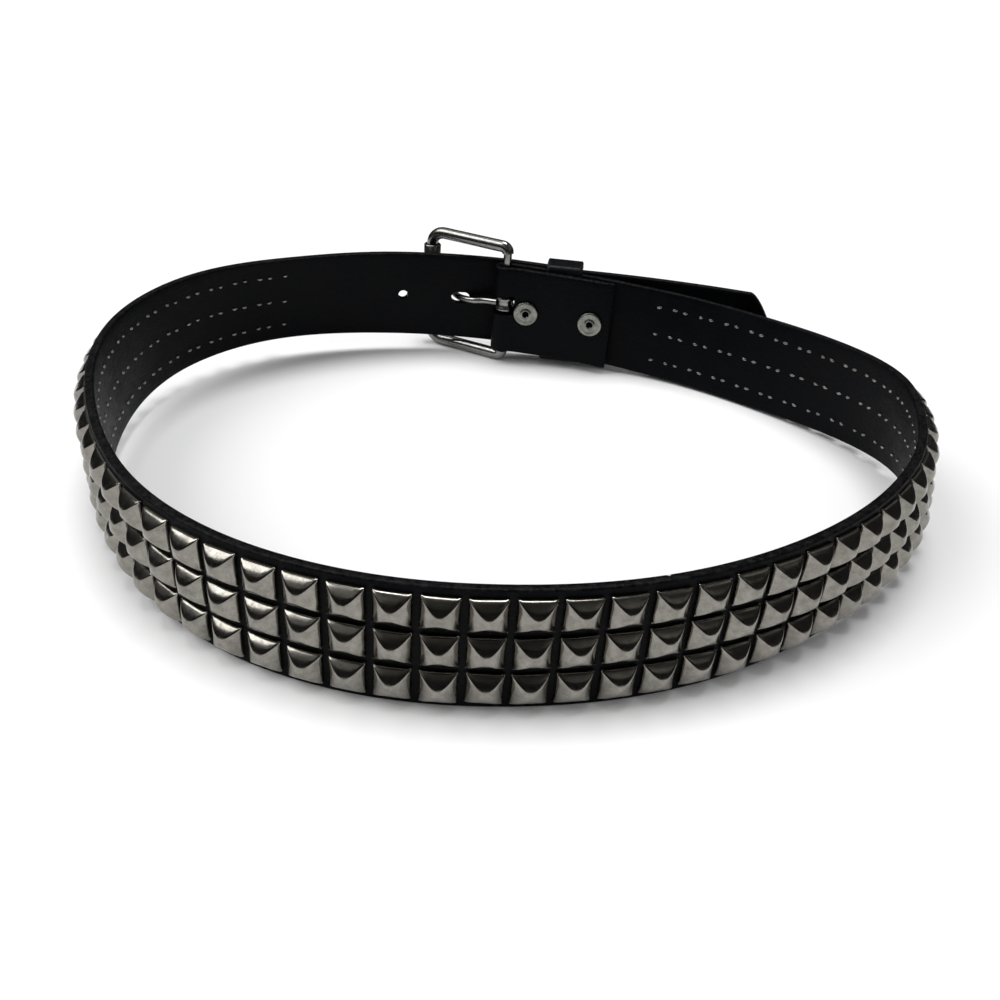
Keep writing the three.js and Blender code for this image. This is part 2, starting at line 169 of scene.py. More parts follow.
# Fits that follow from the sizes above
HALF_WIDTH = STRAP_WIDTH / 2
FOLD_RADIUS = BAR_DIAMETER / 2 + SEAT_CLEARANCE
LAYER_SPACE = KEEPER_THICKNESS + 2 * KEEPER_CLEARANCE
LAP_SEAT = STRAP_THICKNESS + SNAP_CAP + 2 * SEAT_CLEARANCE
BUCKLE_RISE = FRAME_INSIDE_HEIGHT / 2 + FRAME_WIRE_DIAMETER - FRAME_LIFT - HALF_WIDTH
FRAME_SIDE = FRAME_INSIDE_HEIGHT / 2 + FRAME_WIRE_DIAMETER / 2
BAR_CORNER_RADIUS = FRAME_SIDE - HALF_WIDTH - FRAME_LIFT - 3 * SEAT_CLEARANCE
FAR_BAR_OUT = FRAME_SPLAY - FOLD_RADIUS
ROLLER_BORE = FRAME_WIRE_DIAMETER / 2 + SEAT_CLEARANCE
ROLLER_RADIUS = ROLLER_BORE + ROLLER_WALL
RING_RADIUS = FOLD_RADIUS + PRONG_RING_WALL
SNAP_SECOND = SNAP_FIRST + SNAP_SPACING
KEEPER_MIDDLE = SNAP_FIRST + SNAP_SPACING / 2 + KEEPER_PAST_MIDDLE
KEEPER_END = KEEPER_MIDDLE + KEEPER_WIDTH / 2
TIP_START = TAIL_LENGTH - TIP_LENGTH
MM = 0.001


def smoothstep(t):
    t = np.clip(t, 0, 1)
    return t * t * (3 - 2 * t)


# Plan of the strap's inside face: arcs laid end to end, closed with the lap outside the start
def lay_plan():
    shares = sum(row["length"] for row in SECTIONS)
    total = sum(row["turn"] for row in SECTIONS)
    points = []
    x = y = 0.0
    heading = START_HEADING
    for row in SECTIONS:
        length = row["length"] / shares * LOOP_LENGTH
        turn = math.radians(row["turn"] * 360 / total)
        count = max(2, round(length / (LOOP_LENGTH / PLAN_STEPS)))
        for _ in range(count):
            points.append((x, y, heading))
            middle = heading - turn / count / 2
            x += math.cos(middle) * length / count
            y += math.sin(middle) * length / count
            heading -= turn / count
    points.append((x, y, heading))
    plan = np.array(points)
    miss = np.array([-math.sin(START_HEADING) * LAP_SEAT - x, math.cos(START_HEADING) * LAP_SEAT - y])
    plan[:, :2] += np.linspace(0, 1, len(plan))[:, None] * miss
    return plan


PLAN = lay_plan()
ROW_ENDS = np.concatenate([[0], np.cumsum([row["length"] for row in SECTIONS])])
ROW_ENDS /= ROW_ENDS[-1]


# A smooth curve through one column of the table
def column_curve(first, name, share):
    values = np.array([first] + [row[name] for row in SECTIONS], float)
    slope = np.diff(values) / np.diff(ROW_ENDS)
    tangent = np.concatenate([[slope[0]], (slope[1:] + slope[:-1]) / 2, [slope[-1]]])
    i = np.clip(np.searchsorted(ROW_ENDS, share, side="right") - 1, 0, len(ROW_ENDS) - 2)
    span = ROW_ENDS[i + 1] - ROW_ENDS[i]
    t = (share - ROW_ENDS[i]) / span
    return (
        (2 * t**3 - 3 * t**2 + 1) * values[i]
        + (t**3 - 2 * t**2 + t) * span * tangent[i]
        + (3 * t**2 - 2 * t**3) * values[i + 1]
        + (t**3 - t**2) * span * tangent[i + 1]
    )


# The strap's own frames at distances from the bar, one row each: origin, along, outward and up
def frames_at(distance):
    share = np.clip(np.atleast_1d(np.asarray(distance, float)) / LOOP_LENGTH, 0, 1)
    place = share * (len(PLAN) - 1)
    low = np.minimum(place.astype(int), len(PLAN) - 2)
    mix = (place - low)[:, None]
    x, y, heading = (PLAN[low] * (1 - mix) + PLAN[low + 1] * mix).T
    lean = np.radians(column_curve(0, "lean", share))[:, None]
    rise = column_curve(1, "rise", share) * BUCKLE_RISE
    zero = np.zeros_like(x)
    along = np.stack([np.cos(heading), np.sin(heading), zero], 1)
    level = np.stack([-along[:, 1], along[:, 0], zero], 1)
    upright = np.array([0, 0, 1.0])
    outward = level * np.cos(lean) - upright * np.sin(lean)
    up = level * np.sin(lean) + upright * np.cos(lean)
    return np.stack([np.stack([x, y, rise + HALF_WIDTH], 1), along, outward, up], 1)


def turned(vectors, angle):
    c, s = np.cos(angle), np.sin(angle)
    x, y, z = vectors[..., 0], vectors[..., 1], vectors[..., 2]
    return np.stack([c * x - s * y, s * x + c * y, z], -1)


# The free end lies over the snaps' caps, and past the keeper it springs away and runs nearly straight
def tail_frames_at(distance):
    distance = np.atleast_1d(np.asarray(distance, float))
    frames = frames_at(np.minimum(distance, KEEPER_END))
    frames[:, 0] += frames[:, 2] * LAP_SEAT
    free = np.maximum(0, distance - KEEPER_END)
    turn = TAIL_TURN * free / (TAIL_LENGTH - KEEPER_END)
    spring = np.where(free > 0, TAIL_SPRING, 0)
    frames[:, 0] += turned(frames[:, 1], spring - turn / 2) * free[:, None]
    for axis in (1, 2, 3):
        frames[:, axis] = turned(frames[:, axis], spring - turn)
    return frames


# Points in frames: along, out and up are arrays of the same length as the frames, or numbers
def points_in(frames, along, out, up):
    along, out, up = (np.reshape(np.asarray(v, float), (-1, 1)) for v in (along, out, up))
    return frames[:, 0] + frames[:, 1] * along + frames[:, 2] * out + frames[:, 3] * up


BUCKLE = frames_at(0)


# The buckle's own frame stands on the bar: away from the strap, outwards, up
def in_buckle(places):
    away, out, up = np.asarray(places, float).T
    return points_in(np.repeat(BUCKLE, len(away), 0), -away, out, up + FRAME_LIFT)


# The plan's origin lies on the bar, and the frame tells where the solids have it
low, high = (np.array(corner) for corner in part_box("roller"))
SHIFT = (low + high) / 2 / MM - in_buckle([(FRAME_REACH, FAR_BAR_OUT, 0)])[0]


# Camera at the photograph's place: metres, angles written in degrees, and the focal length in pixels of
# a 1000-pixel frame
EYE = (-0.0022, -0.3066, 0.1781)
TILT_DOWN = math.radians(31.73)
ROLL = math.radians(4.30)
YAW = math.radians(-0.15)
FOCAL_PIXELS = 974.7
FRAME_PIXELS = 1000
SENSOR_MM = 36


def make_camera():
    ahead = Vector((
        math.cos(TILT_DOWN) * math.sin(YAW),
        math.cos(TILT_DOWN) * math.cos(YAW),
        -math.sin(TILT_DOWN),
    ))
    level = Vector((math.cos(YAW), -math.sin(YAW), 0))
    upright = level.cross(ahead)
    right = level * math.cos(ROLL) + upright * math.sin(ROLL)
    top = upright * math.cos(ROLL) - level * math.sin(ROLL)
    data = bpy.data.cameras.new("camera")
    data.sensor_width = SENSOR_MM
    data.lens = SENSOR_MM * FOCAL_PIXELS / FRAME_PIXELS
    data.clip_start = 0.01
    data.clip_end = 50
    camera = bpy.data.objects.new("camera", data)
    camera.matrix_world = Matrix.Translation(EYE) @ Matrix((right, top, -ahead)).transposed().to_4x4()
    scene.collection.objects.link(camera)
    scene.camera = camera


make_camera()


# Materials
class Nodes:
    """A short way to write the node tree of a material or of the world."""

    def __init__(self, owner):
        owner.use_nodes = True
        self.owner = owner
        self.tree = owner.node_tree
        self.shader = self.tree.nodes.get("Principled BSDF")

    def add(self, kind, inputs=None, **settings):
        node = self.tree.nodes.new("ShaderNode" + kind)
        for key, value in settings.items():
            setattr(node, key, value)
        for key, value in (inputs or {}).items():
            self.feed(node.inputs[key], value)
        return node

    def feed(self, socket, value):
        if isinstance(value, bpy.types.NodeSocket):
            self.tree.links.new(value, socket)
        else:
            socket.default_value = value

    def set(self, **inputs):
        for key, value in inputs.items():
            self.feed(self.shader.inputs[key.replace("_", " ")], value)

    def place(self):
        return self.add("TexCoord").outputs["Object"]

    # scale: how many waves of the noise go to a metre
    def noise(self, scale, detail=3, roughness=0.55, place=None):
        inputs = {"Vector": place or self.place(), "Scale": scale, "Detail": detail, "Roughness": roughness}
        return self.add("TexNoise", inputs).outputs["Fac"]

    def span(self, value, low, high, to_low=0, to_high=1):
        inputs = {"Value": value, "From Min": low, "From Max": high, "To Min": to_low, "To Max": to_high}
        return self.add("MapRange", inputs).outputs["Result"]

    def math(self, operation, a, b=0.0):
        node = self.add("Math", operation=operation)
        self.feed(node.inputs[0], a)
        self.feed(node.inputs[1], b)
        return node.outputs[0]

    def mix(self, factor, a, b):
        node = self.add("Mix", data_type="RGBA")
        self.feed(node.inputs["Factor"], factor)
        self.feed(node.inputs[6], a)
        self.feed(node.inputs[7], b)
        return node.outputs[2]

    def bump(self, height, strength, distance):
        inputs = {"Height": height, "Strength": strength, "Distance": distance}
        self.set(Normal=self.add("Bump", inputs).outputs["Normal"])


def rgb(r, g, b):
    return (r, g, b, 1)


# Black finished leather: a fine pebble grain, faint creases, and a paler worn edge
def leather(name, base, worn, specular, nick=None):
    n = Nodes(bpy.data.materials.new(name))
    place = n.place()
    pebbles = n.add("TexVoronoi", {"Vector": place, "Scale": 1150, "Randomness": 1.0}).outputs["Distance"]
    fine = n.noise(2600, 2, place=place)
    broad = n.noise(90, 4, place=place)
    flattened = n.add("Mapping", {"Vector": place, "Scale": (1, 1, 6)}).outputs["Vector"]
    streaks = n.noise(320, 3, place=flattened)
    edge = n.add("Attribute", attribute_name="edge").outputs["Fac"]
    wear = n.math("MULTIPLY", edge, n.span(n.noise(700, 4, place=place), 0.42, 0.7))
    colour = n.mix(n.span(broad, 0.35, 0.7), rgb(*base), rgb(*[c * 1.8 for c in base]))
    colour = n.mix(wear, colour, rgb(*worn))
    if nick is not None:
        away = n.add("VectorMath", {0: place, 1: nick}, operation="DISTANCE").outputs["Value"]
        ragged = n.math("ADD", away, n.span(n.noise(2400, 2, place=place), 0, 1, 0, NICK_RADIUS))
        colour = n.mix(n.span(ragged, NICK_RADIUS * 1.3, NICK_RADIUS * 1.1), colour, rgb(0.62, 0.58, 0.52))
    n.set(Base_Color=colour)
    n.set(Roughness=n.span(n.math("ADD", broad, streaks), 0.7, 1.3, 0.34, 0.54))
    grain = n.math("ADD", n.math("MULTIPLY", pebbles, 0.7), n.math("MULTIPLY", fine, 0.35))
    n.bump(n.math("ADD", grain, n.math("MULTIPLY", streaks, 0.6)), 0.6, 0.0002)
    n.shader.inputs["Specular IOR Level"].default_value = specular
    return n.owner


# Nickel plate: cloudy tarnish and fine scuffs
def nickel(name, bright, dull, rough, mottle, scuff):
    n = Nodes(bpy.data.materials.new(name))
    place = n.place()
    cloud = n.noise(380, 5, 0.66, place)
    speck = n.noise(2200, 3, 0.6, place)
    drawn_out = n.add("Mapping", {"Vector": place, "Scale": (1, 1, 0.12)}).outputs["Vector"]
    scratch = n.noise(1200, 2, place=drawn_out)
    tarnish = n.span(n.math("ADD", cloud, n.math("MULTIPLY", speck, 0.5)), 0.55, 0.98)
    n.set(Base_Color=n.mix(n.math("MULTIPLY", tarnish, mottle), rgb(*bright), rgb(*dull)))
    n.set(Roughness=n.span(n.math("ADD", tarnish, scratch), 0.2, 1.6, rough, rough + 0.16))
    n.bump(n.math("ADD", speck, scratch), scuff, 0.00006)
    n.shader.inputs["Metallic"].default_value = 1
    return n.owner


# A small pale nick in the top edge at the front: millimetres along the strap, and metres
NICK_DISTANCE = 353.4
NICK_RADIUS = 0.0009
nick_place = (points_in(frames_at(NICK_DISTANCE), 0, 0.3, HALF_WIDTH - 0.2)[0] + SHIFT) * MM

LEATHER = leather("strap_leather", (0.0008, 0.0010, 0.0015), (0.014, 0.013, 0.013), 0.06, nick_place)
KEEPER_LEATHER = leather("keeper_leather", (0.0014, 0.0018, 0.0025), (0.02, 0.02, 0.02), 0.16)
STUD_NICKEL = nickel("stud_nickel", (0.288, 0.274, 0.246), (0.13, 0.123, 0.109), 0.09, 0.8, 0.08)
PRONG_NICKEL = nickel("stud_prong_nickel", (0.30, 0.29, 0.275), (0.14, 0.135, 0.13), 0.22, 0.8, 0.10)
BUCKLE_NICKEL = nickel("buckle_nickel", (0.29, 0.287, 0.277), (0.15, 0.147, 0.138), 0.15, 0.6, 0.06)
SNAP_NICKEL = nickel("snap_nickel", (0.25, 0.25, 0.228), (0.085, 0.085, 0.076), 0.20, 0.85, 0.14)


# Meshes
def new_object(name, points, faces):
    mesh = bpy.data.meshes.new(name)
    whole = [tuple(map(int, face)) for face in faces]
    mesh.from_pydata(((np.asarray(points) + SHIFT) * MM).tolist(), [], whole)
    mesh.validate()
    piece = bpy.data.objects.new(name, mesh)
    scene.collection.objects.link(piece)
    return piece


# A visible piece. edge marks the points where the leather wears: 1 on an edge, 0 on a face
def make_piece(name, points, faces, material, nodes, edge=None):
    piece = new_object(name, points, faces)
    mesh = piece.data
    mesh.materials.append(material)
    mesh.polygons.foreach_set("use_smooth", [True] * len(mesh.polygons))
    if edge is not None:
        attribute = mesh.attributes.new("edge", "FLOAT", "POINT")
        attribute.data.foreach_set("value", np.asarray(edge, np.float32))
    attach(piece, "root")
    if nodes:
        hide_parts(*nodes)
    return piece


# Faces of a grid of points, rows by columns, closed round the columns and, where asked, round the rows
def grid_faces(rows, columns, ring=False):
    faces = []
    for i in range(rows if ring else rows - 1):
        a, b = i * columns, (i + 1) % rows * columns
        for j in range(columns):
            k = (j + 1) % columns
            faces.append((a + j, b + j, b + k, a + k))
    return faces


# A ring of section points laid at every frame: along, out and up are rows by columns
def loft(frames, along, out, up):
    rows, columns = out.shape
    points = (
        frames[:, None, 0]
        + frames[:, None, 1] * along[..., None]
        + frames[:, None, 2] * out[..., None]
        + frames[:, None, 3] * up[..., None]
    )
    return points.reshape(rows * columns, 3)


# The strap's section: from the inside face over the top edge to the outside face and back below
EDGE_RADIUS = 0.75
CORNER_STEPS = 4
FACE_STEPS = 16
STATION_STEP = 1.9
FOLD_STEPS = 24
TIP_STEPS = 14
# How much of its thickness the strap loses at its two cut ends
END_THINNING = 0.6


def band_section():
    corner = np.linspace(0, np.pi / 2, CORNER_STEPS + 1)
    face = np.linspace(-1, 1, FACE_STEPS + 1)[1:-1]
    run = HALF_WIDTH - EDGE_RADIUS
    inside = [(0, h * run, 0) for h in face]
    top = [(EDGE_RADIUS * (1 - math.cos(a)), run + EDGE_RADIUS * math.sin(a), math.sin(a)) for a in corner]
    over = [(STRAP_THICKNESS - w, h, e) for w, h, e in reversed(top)]
    outside = [(STRAP_THICKNESS, -h, 0) for _, h, _ in inside]
    below = [(w, -h, e) for w, h, e in reversed(top + over)]
    half = top + over
    return np.array(inside + half + outside + below)


SECTION = band_section()


# Stations of the band from the folded end round the bar, round the loop and on to the tip.
# Each gives a frame, where the inside and the outside face lie in it, and the half width
def strap_stations():
    rows = []

    def add(frames, inside, outside, half=None, inset=None):
        count = len(frames)
        inside, outside = (np.broadcast_to(v, (count, 2)) for v in (inside, outside))
        half = np.broadcast_to(HALF_WIDTH if half is None else half, count)
        inset = np.broadcast_to(0 if inset is None else inset, count)
        rows.append((frames, inside, outside, half, inset))

    flap = np.arange(FLAP_LENGTH, 0.01, -STATION_STEP)
    end_inset = np.clip(1 - (FLAP_LENGTH - flap) / STATION_STEP, 0, 1)
    settled = smoothstep(flap / (FOLD_RADIUS * FOLD_SETTLE))
    space = -(2 * FOLD_RADIUS + (LAYER_SPACE - 2 * FOLD_RADIUS) * settled)
    zero = np.zeros_like(flap)
    add(
        frames_at(flap),
        np.stack([zero, space], 1),
        np.stack([zero, space - STRAP_THICKNESS], 1),
        inset=end_inset * END_THINNING,
    )
    angle = np.linspace(np.pi, 0, FOLD_STEPS + 1)[:-1]
    reach = [np.stack([-np.sin(angle) * r, -FOLD_RADIUS + np.cos(angle) * r], 1)
             for r in (FOLD_RADIUS, FOLD_RADIUS + STRAP_THICKNESS)]
    add(np.repeat(BUCKLE, len(angle), 0), *reach)
    loop = np.linspace(0, LOOP_LENGTH, round(LOOP_LENGTH / STATION_STEP))
    add(frames_at(loop), (0, 0), (0, STRAP_THICKNESS))
    tail = np.linspace(0, TIP_START, round(TIP_START / STATION_STEP))[1:]
    add(tail_frames_at(tail), (0, 0), (0, STRAP_THICKNESS))
    share = np.linspace(0, 1, TIP_STEPS + 1)[1:]
    half = HALF_WIDTH + (TIP_BLUNT_HEIGHT / 2 - HALF_WIDTH) * share**TIP_ROUND
    tip_inset = np.clip((share - 0.9) / 0.1, 0, 1) * END_THINNING
    add(tail_frames_at(TIP_START + TIP_LENGTH * share), (0, 0), (0, STRAP_THICKNESS), half, tip_inset)
    return [np.concatenate(column) for column in zip(*rows)]


def strap_band():
    frames, inside, outside, half, inset = strap_stations()
    depth, height, edge = SECTION.T
    across = depth[None] / STRAP_THICKNESS
    across = across + (0.5 - across) * inset[:, None]
    along = inside[:, :1] * (1 - across) + outside[:, :1] * across
    out = inside[:, 1:] * (1 - across) + outside[:, 1:] * across
    scale = np.clip((half[:, None] - EDGE_RADIUS) / (HALF_WIDTH - EDGE_RADIUS), 0.01, 1)
    run = np.clip(height, EDGE_RADIUS - HALF_WIDTH, HALF_WIDTH - EDGE_RADIUS)
    up = run[None] * scale + (height - run)[None]
    points = loft(frames, along, out, up)
    rows, columns = out.shape
    faces = grid_faces(rows, columns)
    faces.append(tuple(range(columns)))
    faces.append(tuple(reversed(range((rows - 1) * columns, rows * columns))))
    return points, faces, np.tile(edge, rows)


# Cutters for the holes
HOLE_SIDES = 40


def cutter(name, frame, out, radius, length=0.0):
    angle = np.linspace(0, 2 * np.pi, HOLE_SIDES, endpoint=False)
    x = np.cos(angle) * radius + np.where(np.cos(angle) >= 0, length / 2, -length / 2)
    z = np.sin(angle) * radius
    depth = 3 * STRAP_THICKNESS
    middle = out + STRAP_THICKNESS / 2
    frames = np.repeat(frame, len(x), 0)
    rings = [points_in(frames, x, np.full_like(x, middle + d), z) for d in (-depth / 2, depth / 2)]
    points = np.concatenate(rings)
    count = len(x)
    faces = grid_faces(2, count) + [tuple(reversed(range(count))), tuple(range(count, 2 * count))]
    return new_object(name, points, faces)


def strap_cutters():
    cutters = []
    for i in range(-HOLES_BEFORE_PRONG, HOLES_PAST_PRONG + 1):
        distance = LOOP_LENGTH - PRONG_HOLE_REACH + i * HOLE_PITCH
        past = distance - LOOP_LENGTH
        place = frames_at(distance) if past < 0 else tail_frames_at(past)
        width = PRONG_HOLE_WIDTH if i == 0 else HOLE_DIAMETER
        length = WORN_SLOT_LENGTH - width if i == 0 else 0
        cutters.append(cutter(f"cut_{i + 1}", place, 0, width / 2, length))
    snap_hole = SNAP_POST_DIAMETER / 2 + SEAT_CLEARANCE
    for distance in (SNAP_FIRST, SNAP_SECOND):
        for out in (0, -LAYER_SPACE - STRAP_THICKNESS):
            cutters.append(cutter("cut_snap", frames_at(distance), out, snap_hole))
    reach = RING_RADIUS + SEAT_CLEARANCE
    outer = FOLD_RADIUS + STRAP_THICKNESS + SEAT_CLEARANCE
    height = PRONG_RING_WIDTH / 2 + 2 * SEAT_CLEARANCE
    corners = [(a, o, u) for u in (-height, height) for a, o in
               ((-outer, -outer), (reach, -outer), (reach, outer), (-outer, outer))]
    away, out, up = np.array(corners).T
    points = points_in(np.repeat(BUCKLE, 8, 0), away, out - FOLD_RADIUS, up + FRAME_LIFT)
    cutters.append(new_object("cut_slot", points, grid_faces(2, 4) + [(3, 2, 1, 0), (4, 5, 6, 7)]))
    return cutters


def cut_away(piece, cutters):
    for tool in cutters:
        cut = piece.modifiers.new("cut", "BOOLEAN")
        cut.operation = "DIFFERENCE"
        cut.solver = "EXACT"
        cut.object = tool
    bpy.context.view_layer.update()
    ready = bpy.data.meshes.new_from_object(piece.evaluated_get(bpy.context.evaluated_depsgraph_get()))
    piece.modifiers.clear()
    piece.data = ready
    for tool in cutters:
        bpy.data.objects.remove(tool)


def make_strap():
    points, faces, edge = strap_band()
    strap = make_piece("strap", points, faces, LEATHER, ["studded_strap"], edge=edge)
    cut_away(strap, strap_cutters())
    strap.data.set_sharp_from_angle(angle=math.radians(50))
    return strap


# Studs: stamped pyramids with a low upright rim, faces that swell, soft ridges and a rounded point
STUD_SIDE_PLACES = (-1, -0.95, -0.82, -0.5, 0, 0.5, 0.82, 0.95)
STUD_RINGS = (1.0, 0.965, 0.9, 0.8, 0.68, 0.56, 0.45, 0.35, 0.26, 0.18, 0.11, 0.05)
# How square the contours are: 2 is a circle
POINT_SQUARENESS = 2.6
RIM_SQUARENESS = 22
# How late, on the way from the point to the rim, the contours turn square
SQUARENESS_DELAY = 1.6
RIM_BEVEL = 0.14
RIM_FOOT = 0.1
# How far the rims press into the leather, and how far their skirts go on below
STUD_SINK = 0.12
STUD_SKIRT = 0.35
# How unevenly the studs are set: degrees turned, degrees tilted and millimetres off their place
STUD_SPIN = 0.7
STUD_TILT = 0.8
STUD_SLIP = 0.09


def stud_shape():
    half = STUD_SIDE / 2
    side = np.array(STUD_SIDE_PLACES)
    one = np.ones_like(side)
    ring = np.concatenate([
        np.stack([one, side], 1), np.stack([-side, one], 1),
        np.stack([-one, -side], 1), np.stack([side, -one], 1),
    ])
    crown = STUD_HEIGHT - STUD_RIM_HEIGHT
    rows = [ring * (half - STUD_SKIRT), ring * half, ring * half, ring * half]
    heights = [-STUD_SKIRT, -STUD_SKIRT, RIM_FOOT, STUD_RIM_HEIGHT - RIM_BEVEL]
    points = [np.column_stack([row, np.full(len(row), h)]) for row, h in zip(rows, heights)]
    for share in STUD_RINGS:
        flat = ring * share
        square = POINT_SQUARENESS + (RIM_SQUARENESS - POINT_SQUARENESS) * share**SQUARENESS_DELAY
        reach = (np.abs(flat) ** square).sum(1) ** (1 / square)
        height = STUD_RIM_HEIGHT + crown * (1 - reach**2)
        inset = RIM_BEVEL if share == 1 else 0
        points.append(np.column_stack([flat * (half - inset * 0.5), height]))
    points.append(np.array([[0, 0, STUD_HEIGHT]]))
    points = np.concatenate(points)
    rows = len(points) // len(ring)
    faces = grid_faces(rows, len(ring))
    last, tip = (rows - 1) * len(ring), len(points) - 1
    faces += [(last + i, tip, last + (i + 1) % len(ring)) for i in range(len(ring))]
    return points, faces


def make_studs():
    shape, shape_faces = stud_shape()
    count = STUD_COLUMNS * STUD_ROWS
    column, row = np.divmod(np.arange(count), STUD_ROWS)
    frames = frames_at(STUD_START + (column + 0.5) * STUD_PITCH)
    spin = np.radians(rng.normal(0, STUD_SPIN, count))
    tilt = np.radians(rng.normal(0, STUD_TILT, (count, 2)))
    slip = rng.normal(0, STUD_SLIP, (count, 2))
    x, z, h = shape.T
    along = np.cos(spin)[:, None] * x - np.sin(spin)[:, None] * z + slip[:, :1]
    up = np.sin(spin)[:, None] * x + np.cos(spin)[:, None] * z + slip[:, 1:]
    out = STRAP_THICKNESS - STUD_SINK + h + along * tilt[:, :1] + up * tilt[:, 1:]
    up = up + ((STUD_ROWS - 1) / 2 - row)[:, None] * ROW_PITCH
    points = loft(frames, along, out, up)
    faces = [tuple(np.array(face) + i * len(shape)) for i in range(count) for face in shape_faces]
    return make_piece("studs", points, faces, STUD_NICKEL, ["studded_strap"])


# Folded prongs: two of each stud come through the strap and lie on its inside
PRONG_END_REACH = 0.298
PRONG_END_LENGTH = 2.1
PRONG_END_WIDTH = 1.1
PRONG_END_RISE = 0.5
PRONG_END_THICK = 0.2
# How full their outline is, and how flat their arch
PRONG_END_FULLNESS = 2.6
PRONG_END_FLATNESS = 0.7
# How unevenly they are folded: degrees turned, shares of the length, and millimetres off their row
PRONG_END_SKEW = 7
PRONG_END_STRETCH = (0.82, 1.12)
PRONG_END_SLIP = 0.12


def make_stud_prongs():
    steps, sides = 7, 8
    t = np.linspace(0, 1, steps)
    angle = np.linspace(0, 2 * np.pi, sides, endpoint=False)
    width = PRONG_END_WIDTH / 2 * np.sqrt(np.clip(1 - np.abs(2 * t - 1) ** PRONG_END_FULLNESS, 0.02, 1))
    arch = np.sin(np.pi * np.clip(t * 0.94 + 0.06, 0, 1)) ** PRONG_END_FLATNESS
    rise = PRONG_END_RISE * arch
    x = np.repeat((t - 0.5) * PRONG_END_LENGTH, sides)
    z = (width[:, None] * np.cos(angle)).ravel()
    h = ((rise - PRONG_END_THICK)[:, None] + PRONG_END_THICK * np.sin(angle)).ravel()
    rows = len(x)
    count = STUD_COLUMNS * STUD_ROWS * 2
    index, side = np.divmod(np.arange(count), 2)
    column, row = np.divmod(index, STUD_ROWS)
    hand = np.where(side == 0, 1.0, -1.0)[:, None]
    frames = frames_at(STUD_START + (column + 0.5) * STUD_PITCH - hand[:, 0] * PRONG_END_REACH * STUD_PITCH)
    skew = np.radians(rng.normal(0, PRONG_END_SKEW, count))[:, None]
    long = rng.uniform(*PRONG_END_STRETCH, count)[:, None]
    along = hand * (np.cos(skew) * x * long - np.sin(skew) * z)
    up = np.sin(skew) * x * long + np.cos(skew) * z + rng.normal(0, PRONG_END_SLIP, count)[:, None]
    up = up + ((STUD_ROWS - 1) / 2 - row)[:, None] * ROW_PITCH
    out = -h + np.zeros_like(up)
    points = loft(frames, along, out, up)
    one = grid_faces(steps, sides) + [tuple(reversed(range(sides))), tuple(range(rows - sides, rows))]
    faces = [tuple(np.array(face) + i * rows) for i in range(count) for face in one]
    return make_piece("stud_prongs", points, faces, PRONG_NICKEL, [])


# How finely the wires, the turned shapes and the snaps are drawn
BOW_SIDES = 24
BOW_STEPS = 220
WIRE_SIDES = 20
TONGUE_STEPS = 90
TURNED_SIDES = 40
SNAP_SIDES = 56


# A round tube laid along a smooth line; radius may change along it
def tube(line, radius, sides, up_hint=(0, 0, 1)):
    line = np.asarray(line, float)
    ahead = np.gradient(line, axis=0)
    ahead /= np.linalg.norm(ahead, axis=1)[:, None]
    side = np.cross(ahead, up_hint)
    side /= np.linalg.norm(side, axis=1)[:, None]
    top = np.cross(side, ahead)
    angle = np.linspace(0, 2 * np.pi, sides, endpoint=False)
    radius = np.broadcast_to(radius, len(line))[:, None, None]
    ring = side[:, None] * np.cos(angle)[:, None] + top[:, None] * np.sin(angle)[:, None]
    points = (line[:, None] + ring * radius).reshape(-1, 3)
    faces = grid_faces(len(line), sides)
    faces += [tuple(reversed(range(sides))), tuple(range((len(line) - 1) * sides, len(line) * sides))]
    return points, faces


# A smooth line through chosen places, by chord length
def smooth_line(places, count):
    places = np.asarray(places, float)
    chord = np.sqrt(np.linalg.norm(np.diff(places, axis=0), axis=1))
    knots = np.concatenate([[0], np.cumsum(chord)])
    slope = np.diff(places, axis=0) / np.diff(knots)[:, None]
    before, after = np.diff(knots)[:-1, None], np.diff(knots)[1:, None]
    middle = (slope[:-1] * after + slope[1:] * before) / (before + after)
    tangent = np.concatenate([[slope[0]], middle, [slope[-1]]])
    t = np.linspace(0, knots[-1], count)
    i = np.clip(np.searchsorted(knots, t, side="right") - 1, 0, len(knots) - 2)
    span = np.diff(knots)[i][:, None]
    u = (t[:, None] - knots[i][:, None]) / span
    return (
        (2 * u**3 - 3 * u**2 + 1) * places[i]
        + (u**3 - 2 * u**2 + u) * span * tangent[i]
        + (3 * u**2 - 2 * u**3) * places[i + 1]
        + (u**3 - u**2) * span * tangent[i + 1]
    )


def joined(parts):
    points, faces, first = [], [], 0
    for part_points, part_faces in parts:
        points.append(part_points)
        faces += [tuple(i + first for i in face) for face in part_faces]
        first += len(part_points)
    return np.concatenate(points), faces


# A turned shape: profile of (radius, height) closed on itself, about an axis through frames
def turned_shape(frame, along, out, up, profile, sides, axis):
    radius, height = np.array(profile).T
    angle = np.linspace(0, 2 * np.pi, sides, endpoint=False)
    c, s = np.cos(angle)[:, None], np.sin(angle)[:, None]
    h = np.broadcast_to(height, (sides, len(height)))
    if axis == "up":
        local = (radius * c + along, radius * s + out, h + up)
    else:
        local = (radius * c + along, h + out, radius * s + up)
    points = points_in(np.repeat(frame, sides * len(radius), 0), *(v.ravel() for v in local))
    faces = grid_faces(sides, len(radius), ring=True)
    if axis == "up":
        faces = [tuple(reversed(face)) for face in faces]
    return points, faces


def splay_out(away):
    return -FOLD_RADIUS + away / FRAME_REACH * FRAME_SPLAY


